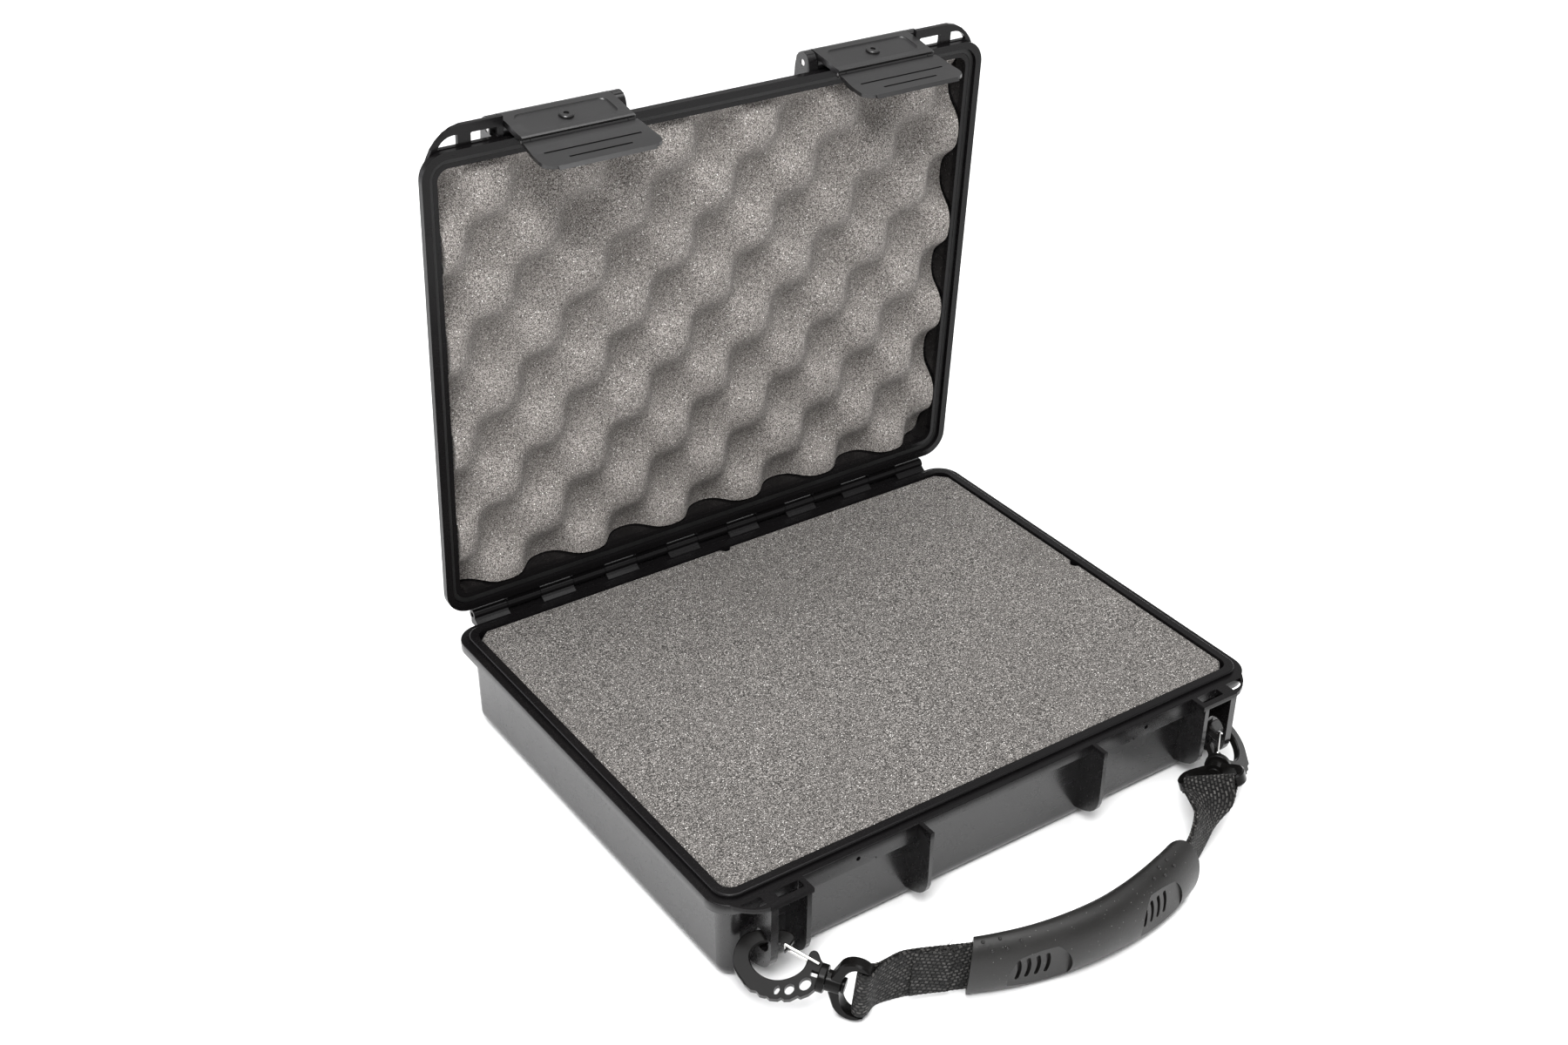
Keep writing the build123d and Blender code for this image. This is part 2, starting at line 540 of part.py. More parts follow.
def eye_plane(tag):
    """x along the stud, y along the bar, at the collar centre."""
    h = HOOKS[tag]
    o = h.from_local_coords(Vector(*HOOK_COLLAR, 0))
    a = (h.x_dir * HOOK_STUD[0] + h.y_dir * HOOK_STUD[1]).normalized()
    want = Vector(0, 0, 1) if tag == "left" else Vector(0.52, -0.76, 0.38)
    b = (want - a * a.dot(want)).normalized()
    return Plane(origin=o, x_dir=a, z_dir=a.cross(b))


def swivel_eye():
    """In its own plane: stud along x, bar along y."""
    sk = make_face(Polyline((4.2, -5.6), (4.2, 5.6), (9.6, 18.6), (24.8, 18.6), (24.8, -18.6), (9.6, -18.6), close=True))
    v = sk.vertices()
    sk = fillet(v.filter_by(lambda q: abs(q.X - 9.6) < 0.1), 9.8)
    sk = fillet(sk.vertices().filter_by(lambda q: abs(q.X - 24.8) < 0.1), 7.6)
    e = extrude(sk, EYE_T / 2, both=True)
    e = chamfer(e.faces().filter_by(Axis.Z).edges(), 0.9)
    ip = [(9.9, 0.0), (10.1, 5.0), (11.4, 10.0), (14.0, 13.7), (17.0, 15.2)]
    inner = Spline([*[(x, -y) for x, y in reversed(ip)], *ip[1:]])
    hole = make_face([*inner.edges(), Line((17.0, 15.2), (30.0, 15.2)), Line((30.0, 15.2), (30.0, -15.2)), Line((30.0, -15.2), (17.0, -15.2))])
    e -= extrude(hole, 10, both=True)
    boss_pl = Plane(origin=(COLLAR_T / 2 + 0.3, 0, 0), x_dir=(0, 1, 0), z_dir=(1, 0, 0))
    boss = extrude(boss_pl * Circle(5.3), 9.95 - COLLAR_T / 2 - 0.3)
    e = e + boss
    bar = extrude(Plane(origin=(EYE_BAR_U, -15.8, 0), x_dir=(1, 0, 0), z_dir=(0, 1, 0)) * Circle(EYE_BAR_R), 31.6)
    e = e + bar
    e -= extrude(boss_pl * Circle(STUD_R + 0.08), 12)
    return solid(e)


def section(p, w, d, width, thick):
    """Rectangle across direction d at p with its width along w."""
    d = unit(d)
    wv = Vector(*w)
    wv = (wv - d * d.dot(wv)).normalized()
    return Plane(origin=p, x_dir=wv, z_dir=d) * Rectangle(width, thick)


def grip_centre(deg):
    a = math.radians(deg)
    return (GRIP_MID[0] + GRIP_R * math.sin(a), GRIP_MID[1] + GRIP_R * (1 - math.cos(a)), GRIP_Z)


def grip_dir(deg):
    a = math.radians(deg)
    return (math.cos(a), math.sin(a), 0.0)


def grip_up(deg):
    """Height direction of the grip, which leans towards the case to the right."""
    t = min(max((deg + 3.0) / 16.0, 0.0), 1.0)
    roll = math.radians(GRIP_ROLL) * t * t * (3 - 2 * t)
    f = grip_dir(deg)
    return (-f[1] * math.sin(roll), f[0] * math.sin(roll), math.cos(roll))


def grip_plane(deg):
    return Plane(origin=grip_centre(deg), x_dir=grip_up(deg), z_dir=grip_dir(deg))


STATIONS = (GRIP_ENDS[0], -20, -16, -12, -8, -4, 0, 4, 8, 12, 16, GRIP_ENDS[1])


def strap():
    W, T = STRAP_W, 2 * STRAP_T
    # through the grip
    out = loft([grip_plane(d) * Rectangle(W, T) for d in STATIONS])
    for tag, side in (("left", 0), ("right", 1)):
        pl = eye_plane(tag)
        c = pl.from_local_coords(Vector(EYE_BAR_U, 0, 0))
        B = pl.y_dir
        end = Vector(*grip_centre(GRIP_ENDS[side]))
        dirg = Vector(*grip_dir(GRIP_ENDS[side])) * (1 if side else -1)
        z = Vector(0, 0, 1)
        if tag == "left":
            pts = [end, Vector(-84.2, -200.2, 17.2), Vector(-95.0, -195.4, 17.6), Vector(-107.0, -191.4, 18.3), Vector(-118.5, -190.6, 18.9), c]
            ws = [z] * 4 + [B, B]
        else:
            up = Vector(*grip_up(GRIP_ENDS[1]))
            pts = [end, Vector(73.5, -206.0, 17.2), Vector(85.0, -200.2, 18.6), Vector(95.8, -193.8, 22.4), Vector(103.5, -187.9, 27.0), Vector(109.0, -183.2, 29.6), c]
            ws = [up, up, z * 0.95 - B * 0.30, z * 0.88 - B * 0.48, z * 0.66 - B * 0.75, z * 0.15 - B * 0.99, B * -1]
        secs = []
        for k, (q, w) in enumerate(zip(pts, ws)):
            if k == 0:
                d = dirg
            elif k == len(pts) - 1:
                d = pts[k] - pts[k - 1]
            else:
                d = pts[k + 1] - pts[k - 1]
            secs.append(section(q, (w.X, w.Y, w.Z), (d.X, d.Y, d.Z), W, T))
        tail = loft(secs)
        ring = extrude(Plane(origin=c - B * (W / 2), x_dir=pl.x_dir, z_dir=B) * Circle(EYE_BAR_R + 0.1 + STRAP_T), W)
        bore = extrude(Plane(origin=c - B * (W / 2 + 1), x_dir=pl.x_dir, z_dir=B) * Circle(EYE_BAR_R + 0.1), W + 2)
        out = out + (tail + ring - bore)
    return solid(out)


def grip_half(deg):
    """Half thickness of the grip, fullest in the middle."""
    t = (deg + 2.0) / 22.6
    return 9.3 + 1.9 * math.cos(math.pi / 2 * t) ** 2


def grip():
    ends = (GRIP_ENDS[0] - 3.0,) + STATIONS[1:-1] + (GRIP_ENDS[1] + 3.0,)
    g = loft([grip_plane(d) * Ellipse(GRIP_H / 2, grip_half(d)) for d in ends])
    # both ends are cut at a slant, longest on the outer side
    for side, lean, dip in ((0, -0.30, 0.06), (1, 0.62, 0.12)):
        pl = grip_plane(GRIP_ENDS[side])
        f, up = pl.z_dir, pl.x_dir
        radial = f.cross(up)
        n = (f - radial * lean - up * dip).normalized() * (1 if side else -1)
        g -= extrude(Plane(origin=Vector(*grip_centre(GRIP_ENDS[side])), z_dir=n) * Rectangle(90, 90), 40)
    # sunk windows on the outer face with four curved slots each
    for deg, shift in ((-14.0, -3.3), (10.0, -4.0)):
        c = Vector(*grip_centre(deg))
        f = Vector(*grip_dir(deg))
        up = Vector(*grip_up(deg))
        radial = f.cross(up)
        tilt = math.radians(5)
        nrm = radial * math.cos(tilt) - up * math.sin(tilt)
        pl = Plane(origin=c + nrm * 7.75, x_dir=f, z_dir=nrm)
        g -= extrude(pl * Pos(0, -5.0) * Ellipse(17.6, 17.5), 8)
        for k in range(4):
            q = pl * Pos(5.35 * (k - 1.5) + shift - 17.0, 0.3) * SlotArc(CenterArc((0, 0), 17.0, -19, 38), 2.3)
            g -= extrude(q, -2.4)
    # dots near both ends
    dots = ((-23.0, 76), (-20.2, 79), (-21.8, 52), (-19.4, 52), (-17.0, 64), (14.6, 72), (12.2, 72), (15.0, 50), (12.2, 48), (9.8, 59))
    for d, e in dots:
        c = Vector(*grip_centre(d))
        f = Vector(*grip_dir(d))
        up = Vector(*grip_up(d))
        radial = f.cross(up)
        e_ = math.radians(e)
        q = c + radial * (grip_half(d) * math.cos(e_)) + up * (GRIP_H / 2 * math.sin(e_))
        g += Pos(q.X, q.Y, q.Z) * Sphere(0.95)
    # room for the strap
    g -= loft([grip_plane(d) * Rectangle(STRAP_W + 0.6, 2 * STRAP_T + 0.9) for d in ends])
    for side in (0, 1):
        mouth = extrude(grip_plane(GRIP_ENDS[side]) * Rectangle(STRAP_W + 0.8, 2 * STRAP_T + 1.2), 9 if side else -9, taper=-14)
        g -= mouth
    return solid(g)


HOOK_SHAPE = hook_body()
GATE_SHAPE = gate_wire()
STUD_SHAPE = stud()
EYE_SHAPE = swivel_eye()


nodes = {
    "base_shell": base,
    "hinge_pin": hinge_pin,
    "foam_base_pad": foam_pad,
    "foam_pluck_block": foam_pluck,
    "lid_shell": opened(lid),
    "lid_gasket": opened(gasket),
    "lid_foam": opened(lfoam),
}
for tag, cx in (("left", -LATCH_X), ("right", LATCH_X)):
    nodes["latch_pin_" + tag] = opened(latch_pin(cx))
    nodes["latch_plate_" + tag] = at_rest(latch_plate(cx))
    nodes["lever_pin_" + tag] = at_rest(lever_pin(cx))
    nodes["latch_lever_" + tag] = at_rest(latch_lever(cx))

for tag in ("left", "right"):
    place = HOOKS[tag].location
    nodes["snap_hook_" + tag] = place * HOOK_SHAPE
    nodes["hook_gate_" + tag] = place * GATE_SHAPE
    nodes["swivel_stud_" + tag] = place * STUD_SHAPE
    nodes["swivel_eye_" + tag] = eye_plane(tag).location * EYE_SHAPE
nodes["handle_strap"] = strap()
nodes["handle_grip"] = grip()

for name, s in nodes.items():
    export_step(s, f"parts/{name}.step")
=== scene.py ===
import math
import random

import bmesh
import bpy
import numpy as np
from mathutils import Matrix, Vector, noise


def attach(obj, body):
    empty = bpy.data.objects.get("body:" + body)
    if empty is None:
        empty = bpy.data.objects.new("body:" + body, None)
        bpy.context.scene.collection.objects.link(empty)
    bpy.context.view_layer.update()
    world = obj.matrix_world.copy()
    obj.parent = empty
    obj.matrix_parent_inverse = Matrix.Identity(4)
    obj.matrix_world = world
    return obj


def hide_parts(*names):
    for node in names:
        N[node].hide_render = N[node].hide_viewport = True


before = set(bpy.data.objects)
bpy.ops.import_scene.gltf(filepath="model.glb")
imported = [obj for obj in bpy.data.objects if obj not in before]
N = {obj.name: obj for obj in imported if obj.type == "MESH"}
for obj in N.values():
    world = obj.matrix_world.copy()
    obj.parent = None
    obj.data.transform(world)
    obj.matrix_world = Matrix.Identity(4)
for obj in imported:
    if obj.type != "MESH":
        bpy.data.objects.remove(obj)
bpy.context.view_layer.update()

scene = bpy.context.scene
random.seed(4)
rng = np.random.default_rng(4)
MM = 0.001
LID_OPEN = 87.0
HINGE_Y, HINGE_Z = 148.0, 60.0
RIM_Z = 57.0


def opened(p):
    """A point of the shut lid, in mm, where it is with the lid open."""
    a = math.radians(-LID_OPEN)
    y, z = p[..., 1] - HINGE_Y, p[..., 2] - HINGE_Z
    q = np.array(p, float)
    q[..., 1] = HINGE_Y + y * math.cos(a) - z * math.sin(a)
    q[..., 2] = HINGE_Z + y * math.sin(a) + z * math.cos(a)
    return q


# ---------------------------------------------------------------------------
# materials
# ---------------------------------------------------------------------------
class Mat:
    def __init__(self, name, **values):
        self.m = bpy.data.materials.new(name)
        self.m.use_nodes = True
        self.t = self.m.node_tree
        self.b = self.t.nodes["Principled BSDF"]
        for k, v in values.items():
            self.b.inputs[k.replace("_", " ")].default_value = v

    def node(self, kind, **settings):
        n = self.t.nodes.new("ShaderNode" + kind)
        for k, v in settings.items():
            setattr(n, k, v)
        return n

    def link(self, a, b):
        self.t.links.new(a, b)

    def coords(self, kind="Object"):
        return self.node("TexCoord").outputs[kind]

    def mapped(self, src, scale=(1, 1, 1), rot=(0, 0, 0), loc=(0, 0, 0)):
        n = self.node("Mapping")
        n.inputs["Scale"].default_value = scale
        n.inputs["Rotation"].default_value = rot
        n.inputs["Location"].default_value = loc
        self.link(src, n.inputs["Vector"])
        return n.outputs[0]

    def noise(self, src, scale, detail=2.0, rough=0.5, dist=0.0):
        n = self.node("TexNoise")
        n.inputs["Scale"].default_value = scale
        n.inputs["Detail"].default_value = detail
        n.inputs["Roughness"].default_value = rough
        n.inputs["Distortion"].default_value = dist
        self.link(src, n.inputs["Vector"])
        return n.outputs["Fac"]

    def voronoi(self, src, scale, feature="F1", out="Distance", rand=1.0):
        n = self.node("TexVoronoi", feature=feature)
        n.inputs["Scale"].default_value = scale
        n.inputs["Randomness"].default_value = rand
        self.link(src, n.inputs["Vector"])
        return n.outputs[out]

    def ramp(self, src, stops, mode="LINEAR"):
        n = self.node("ValToRGB")
        n.color_ramp.interpolation = mode
        e = n.color_ramp.elements
        while len(e) < len(stops):
            e.new(0.5)
        for k, (pos, col) in enumerate(stops):
            e[k].position = pos
            e[k].color = (*col, 1) if hasattr(col, "__len__") else (col, col, col, 1)
        self.link(src, n.inputs["Fac"])
        return n.outputs["Color"]

    def mix(self, fac, a, b, blend="MIX"):
        n = self.node("Mix", data_type="RGBA", blend_type=blend)
        for k, v in ((0, fac), (6, a), (7, b)):
            if hasattr(v, "is_linked") or isinstance(v, bpy.types.NodeSocket):
                self.link(v, n.inputs[k])
            elif k == 0:
                n.inputs[k].default_value = v
            else:
                n.inputs[k].default_value = (*v, 1) if hasattr(v, "__len__") else (v, v, v, 1)
        return n.outputs[2]

    def math(self, op, a, b=0.0, c=0.0):
        n = self.node("Math", operation=op)
        for k, v in enumerate((a, b, c)):
            if isinstance(v, bpy.types.NodeSocket):
                self.link(v, n.inputs[k])
            else:
                n.inputs[k].default_value = v
        return n.outputs[0]

    def maprange(self, src, a, b, c, d):
        n = self.node("MapRange")
        for k, v in zip(("From Min", "From Max", "To Min", "To Max"), (a, b, c, d)):
            n.inputs[k].default_value = v
        self.link(src, n.inputs["Value"])
        return n.outputs["Result"]

    def bump(self, height, dist, strength=1.0, normal=None):
        n = self.node("Bump")
        n.inputs["Distance"].default_value = dist
        n.inputs["Strength"].default_value = strength
        self.link(height, n.inputs["Height"])
        if normal is not None:
            self.link(normal, n.inputs["Normal"])
        return n.outputs["Normal"]

    def set(self, name, src):
        self.link(src, self.b.inputs[name])
        return self


def plastic(name, dark, light, rough, grain=2600.0, grain_depth=0.000012, scuff=0.05, spec=0.42, rim=None):
    """Injection-moulded plastic: fine spark-eroded grain, faint flow marks, a few scuffs."""
    m = Mat(name, Specular_IOR_Level=spec)
    p = m.coords()
    flow = m.noise(m.mapped(p, (1, 1, 2.5)), 9, 3, 0.5, 0.6)
    col = m.ramp(flow, [(0.35, dark), (0.7, light)])
    fine = m.noise(p, 900, 2, 0.6)
    col = m.mix(m.maprange(fine, 0.55, 0.8, 0.0, 0.25), col, tuple(min(1, c * 1.5) for c in light))
    m.set("Base Color", col)
    scratch = m.noise(m.mapped(p, (40, 260, 120), (0.3, 0.5, 0.2)), 3, 2, 0.5)
    r = m.math("ADD", m.maprange(m.noise(p, 60, 4, 0.6), 0.3, 0.7, rough - 0.02, rough + 0.03), m.maprange(scratch, 0.6, 0.75, 0.0, scuff))
    m.set("Roughness", r)
    if rim:
        # less sheen on the rim and the hinge, matched to the photo
        mask = 0.0
        for way, start, end in rim:
            dot = m.node("VectorMath", operation="DOT_PRODUCT")
            m.link(p, dot.inputs[0])
            dot.inputs[1].default_value = way
            mask = m.math("MAXIMUM", m.maprange(dot.outputs["Value"], start, end, 0.0, 1.0), mask)
        m.set("Specular IOR Level", m.maprange(mask, 0.0, 1.0, spec, spec * 0.28))
    h = m.bump(m.noise(p, grain, 1, 0.5), grain_depth)
    h = m.bump(m.noise(p, 30, 2, 0.5), 0.00004, 1.0, h)
    m.set("Normal", h)
    return m.m


def foam(name, dark, mid, light, glint, cell=1350.0, share=0.9, spot=1100.0, painted_hollow_shade=None):
    """Open-cell foam: dark pores, grey struts, a scatter of painted glints where cell faces catch the light, and
    painted shade in the hollows when asked for.
    """
    m = Mat(name, Roughness=0.9, Specular_IOR_Level=0.2, Sheen_Weight=0.05, Sheen_Roughness=0.5)
    p = m.coords()
    pores = m.noise(p, cell, 2.0, 0.7)
    coarse = m.noise(p, cell * 0.5, 2.0, 0.6)
    v = m.math("ADD", m.math("MULTIPLY", pores, 0.68), m.math("MULTIPLY", coarse, 0.32))
    col = m.ramp(v, [(0.40, dark), (0.5, mid), (0.595, light)])
    cloud = m.noise(p, 11, 3, 0.55)
    col = m.mix(m.maprange(cloud, 0.35, 0.7, 0.0, 0.22), col, tuple(c * 0.82 for c in mid))
    # painted glints: a scatter of bright specks standing in for cell faces catching the light
    cellcol = m.node("SeparateColor")
    m.link(m.voronoi(p, spot, out="Color"), cellcol.inputs[0])
    near = m.voronoi(p, spot)
    lit = m.math("MULTIPLY", m.math("GREATER_THAN", cellcol.outputs[0], share), m.math("LESS_THAN", near, 0.4))
    bright = m.maprange(cellcol.outputs[1], 0.0, 1.0, 0.15, 1.0)
    col = m.mix(m.math("MULTIPLY", lit, bright), col, glint)
    # painted shade: the colour darkens towards the bottoms of the hollows, standing in for the shade there
    if painted_hollow_shade:
        way, start, end, fade = painted_hollow_shade
        dot = m.node("VectorMath", operation="DOT_PRODUCT")
        m.link(p, dot.inputs[0])
        dot.inputs[1].default_value = way
        col = m.mix(m.maprange(dot.outputs["Value"], start, end, 0.0, fade), col, dark)
    m.set("Base Color", col)
    m.set("Normal", m.bump(v, 0.0007, 0.9))
    return m.m


def metal(name, colour, rough, line=(1, 1, 1)):
    m = Mat(name, Metallic=1.0)
    p = m.coords()
    n = m.noise(m.mapped(p, line), 700, 3, 0.6)
    m.set("Base Color", m.mix(m.maprange(n, 0.3, 0.8, 0.0, 0.35), colour, tuple(c * 0.7 for c in colour)))
    m.set("Roughness", m.maprange(m.noise(p, 150, 3, 0.6), 0.3, 0.7, rough - 0.05, rough + 0.08))
    m.set("Normal", m.bump(n, 0.000006))
    return m.m


case = plastic("case_plastic", (0.0032, 0.0029, 0.0031), (0.0050, 0.0046, 0.0049), 0.255, spec=0.54,
               rim=[((0, 0, 1), 0.0525, 0.0555), ((0, 1, 0), 0.1365, 0.1395)])
# the way into the lid in the open position
into = opened(np.array([[0.0, 0.0, 1.0]])) - opened(np.array([[0.0, 0.0, 0.0]]))
into = into[0] / np.linalg.norm(into[0])
flat = float(opened(np.array([[0.0, 0.0, 64.5]]))[0] @ into) * MM
lid_case = plastic("case_plastic_lid", (0.0032, 0.0029, 0.0031), (0.0050, 0.0046, 0.0049), 0.255, spec=0.54,
                   rim=[(tuple(-into), -flat, -flat + 0.002)])
latch = plastic("latch_plastic", (0.0050, 0.0047, 0.0048), (0.0078, 0.0074, 0.0076), 0.32, 3200, spec=0.62)
hook = plastic("hook_plastic", (0.0036, 0.0034, 0.0033), (0.0050, 0.0047, 0.0045), 0.22, 3200, spec=0.10)
foam_dark = foam("foam_dark", (0.012, 0.011, 0.010), (0.076, 0.0705, 0.066), (0.29, 0.274, 0.259), (0.80, 0.78, 0.75), 1600.0, 0.91, 1350.0)
# how far into the lid the bottoms of the foam's hollows lie, where the lid foam gets painted shade
foot = float(opened(np.array([[0.0, 0.0, 72.6]]))[0] @ into) * MM
foam_light = foam("foam_light", (0.045, 0.0405, 0.0365), (0.188, 0.1735, 0.1625), (0.42, 0.394, 0.371), (0.98, 0.96, 0.93), 1750.0, 0.94, 1250.0,
                  (tuple(into), foot - 10.5 * MM, foot, 0.34))
steel = metal("steel", (0.62, 0.61, 0.6), 0.3, (0.05, 1, 1))
wire = metal("wire", (0.86, 0.85, 0.83), 0.16)


def rubber(name, base, rough, speck=0.0):
    m = Mat(name, Specular_IOR_Level=0.34)
    p = m.coords()
    cloud = m.noise(p, 40, 3, 0.6)
    col = m.ramp(cloud, [(0.3, tuple(c * 0.8 for c in base)), (0.7, tuple(c * 1.25 for c in base))])
    fine = m.noise(p, 1500, 2, 0.7)
    col = m.mix(m.maprange(fine, 0.55, 0.75, 0.0, 0.5), col, tuple(min(1, c * 1.9) for c in base))
    if speck:
        sc = m.node("SeparateColor")
        m.link(m.voronoi(p, 1300, out="Color"), sc.inputs[0])
        lit = m.math("MULTIPLY", m.math("GREATER_THAN", sc.outputs[0], 0.975), m.math("LESS_THAN", m.voronoi(p, 1300), 0.26))
        col = m.mix(m.math("MULTIPLY", lit, speck), col, (0.26, 0.255, 0.245))
    m.set("Base Color", col)
    m.set("Roughness", m.maprange(cloud, 0.3, 0.7, rough - 0.05, rough + 0.07))
    m.set("Normal", m.bump(fine, 0.00012, 0.8))
    return m.m


gasket = rubber("gasket", (0.006, 0.006, 0.006), 0.5)
grip_rubber = rubber("grip_rubber", (0.0084, 0.0080, 0.0076), 0.41, 0.6)


def webbing(name):
    """Coarse webbing, from UV: u along the strap and v across it, both in mm."""
    m = Mat(name, Roughness=0.6, Specular_IOR_Level=0.22, Sheen_Weight=0.02, Sheen_Roughness=0.4)
    uv = m.coords("UV")
    br = m.node("TexBrick", offset=0.5, squash=1.0)
    br.inputs["Scale"].default_value = 1.0
    br.inputs["Brick Width"].default_value = 2.7
    br.inputs["Row Height"].default_value = 2.1
    br.inputs["Mortar Size"].default_value = 0.74
    br.inputs["Mortar Smooth"].default_value = 1.0
    br.inputs["Bias"].default_value = 0.0
    br.inputs["Color1"].default_value = (0.004, 0.0038, 0.0036, 1)
    br.inputs["Color2"].default_value = (0.10, 0.096, 0.092, 1)
    br.inputs["Mortar"].default_value = (0.0012, 0.0012, 0.0012, 1)
    warp = m.node("VectorMath", operation="ADD")
    wob = m.node("TexNoise")
    wob.inputs["Scale"].default_value = 0.5
    m.link(uv, wob.inputs["Vector"])
    sc = m.node("VectorMath", operation="SCALE")
    sc.inputs["Scale"].default_value = 0.75
    m.link(wob.outputs["Color"], sc.inputs[0])
    m.link(m.mapped(uv, (1, 1, 1), (0, 0, math.radians(12))), warp.inputs[0])
    m.link(sc.outputs[0], warp.inputs[1])
    m.link(warp.outputs[0], br.inputs["Vector"])
    fibre_and_highlight = m.noise(m.mapped(uv, (1.0, 7.0, 1.0)), 2.6, 3, 0.7)
    # painted highlight: pale fibre streaks in the weave colour stand in for light on the yarn; the same noise gives the
    # fibres' bump
    col = m.mix(m.maprange(fibre_and_highlight, 0.48, 0.75, 0.0, 0.75), br.outputs["Color"], (0.085, 0.082, 0.078))
    col = m.mix(br.outputs["Fac"], col, (0.0012, 0.0012, 0.0012))
    m.set("Base Color", col)
    h = m.math("ADD", m.math("MULTIPLY", br.outputs["Fac"], -1.0), m.math("MULTIPLY", fibre_and_highlight, 0.25))
    m.set("Normal", m.bump(h, 0.0016, 1.0))
    return m.m


web = webbing("webbing")


def wear(obj, mat):
    obj.data.materials.clear()
    obj.data.materials.append(mat)


for n, o in N.items():
    if n in ("base_shell", "lid_shell"):
        wear(o, case if n == "base_shell" else lid_case)
    elif n.startswith("latch_plate") or n.startswith("latch_lever"):
        wear(o, latch)
    elif n.startswith("snap_hook") or n.startswith("swivel"):
        wear(o, hook)
    elif n.startswith("hook_gate"):
        wear(o, wire)
    elif "pin" in n:
        wear(o, steel)
    elif n == "lid_gasket":
        wear(o, gasket)
    elif n == "handle_grip":
        wear(o, grip_rubber)


def add_mesh(name, verts, faces, mat, smooth=True):
    me = bpy.data.meshes.new(name)
    me.from_pydata([tuple(v) for v in verts], [], [tuple(f) for f in faces])
    me.validate()
    o = bpy.data.objects.new(name, me)
    scene.collection.objects.link(o)
    me.materials.append(mat)
    if smooth:
        me.polygons.foreach_set("use_smooth", np.ones(len(me.polygons), bool))
    return o


def outward(o):
    bm = bmesh.new()
    bm.from_mesh(o.data)
    bmesh.ops.recalc_face_normals(bm, faces=bm.faces)
    bm.to_mesh(o.data)
    bm.free()


# ---------------------------------------------------------------------------
# egg-crate foam in the lid
# ---------------------------------------------------------------------------
def round_corner(x, y, hx, hy, r):
    """Pulls the corners of a rectangular grid in to arcs of radius r."""
    qx, qy = np.abs(x) - (hx - r), np.abs(y) - (hy - r)
    both = (qx > 0) & (qy > 0)
    d = np.hypot(np.maximum(qx, 1e-9), np.maximum(qy, 1e-9))
    s = np.where(both, np.maximum(qx, qy) / d, 1.0)
    return (np.where(both, np.sign(x) * (hx - r + qx * s), x),
            np.where(both, np.sign(y) * (hy - r + qy * s), y))


def egg_height(x, y):
    """0 in a valley and 1 on a peak."""
    c = np.cos(math.pi * (x - 27.9) / 27.9) * np.cos(math.pi * (y - 126.9) / 30.1)
    return 0.5 + 0.5 * np.tanh(1.3 * c) / math.tanh(1.3)


def lid_foam():
    hx, hy, r = 168.8, 130.2, 6.0
    back, valley, peak = 74.75, 72.6, 58.7
    step = 1.3
    nx, ny = int(2 * hx / step), int(2 * hy / step)
    gx, gy = np.meshgrid(np.linspace(-hx, hx, nx), np.linspace(-hy, hy, ny), indexing="ij")
    x, y = round_corner(gx, gy, hx, hy, r)
    wx = np.array([[noise.noise(Vector((a * 0.018, b * 0.018, 3.1))) for a, b in zip(ra, rb)] for ra, rb in zip(x, y)])
    wy = np.array([[noise.noise(Vector((a * 0.018, b * 0.018, 9.7))) for a, b in zip(ra, rb)] for ra, rb in zip(x, y)])
    h = egg_height(x + 1.6 * wx, y + 1.6 * wy)
    z = valley - (valley - peak) * h
    top = np.stack([x, y, z], -1)
    # the cut edge runs straight down from the rim of the top to the flat back
    v = top.reshape(-1, 3)
    idx = np.arange(nx * ny).reshape(nx, ny)
    faces = [(idx[i, j], idx[i + 1, j], idx[i + 1, j + 1], idx[i, j + 1]) for i in range(nx - 1) for j in range(ny - 1)]
    ring = list(idx[:, 0]) + list(idx[-1, 1:]) + list(idx[-2::-1, -1]) + list(idx[0, -2:0:-1])
    nv = len(v)
    low = v[ring].copy()
    low[:, 2] = back
    verts = np.vstack([v, low])
    m = len(ring)
    for k in range(m):
        a, b = ring[k], ring[(k + 1) % m]
        faces.append((b, a, nv + k, nv + (k + 1) % m))
    faces.append(tuple(nv + k for k in range(m)))
    o = add_mesh("lid_egg_crate_foam", opened(verts) * MM, faces, foam_light)
    outward(o)
    o.data.polygons[len(o.data.polygons) - 1].use_smooth = False
    bpy.context.view_layer.objects.active = o
    o.data.set_sharp_from_angle(angle=math.radians(50))
    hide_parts("lid_foam")
    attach(o, "lid")
    return o


lid_foam()


# ---------------------------------------------------------------------------
# foam in the base
# ---------------------------------------------------------------------------
def remeshed(node, name, voxel, mat):
    src = N[node]
    o = bpy.data.objects.new(name, src.data.copy())
    scene.collection.objects.link(o)
    md = o.modifiers.new("skin", "REMESH")
    md.mode = "VOXEL"
    md.voxel_size = voxel
    md.use_smooth_shade = True
    dg = bpy.context.evaluated_depsgraph_get()
    me = bpy.data.meshes.new_from_object(o.evaluated_get(dg))
    o.modifiers.clear()
    o.data = me
    me.materials.clear()
    me.materials.append(mat)
    me.polygons.foreach_set("use_smooth", np.ones(len(me.polygons), bool))
    return o


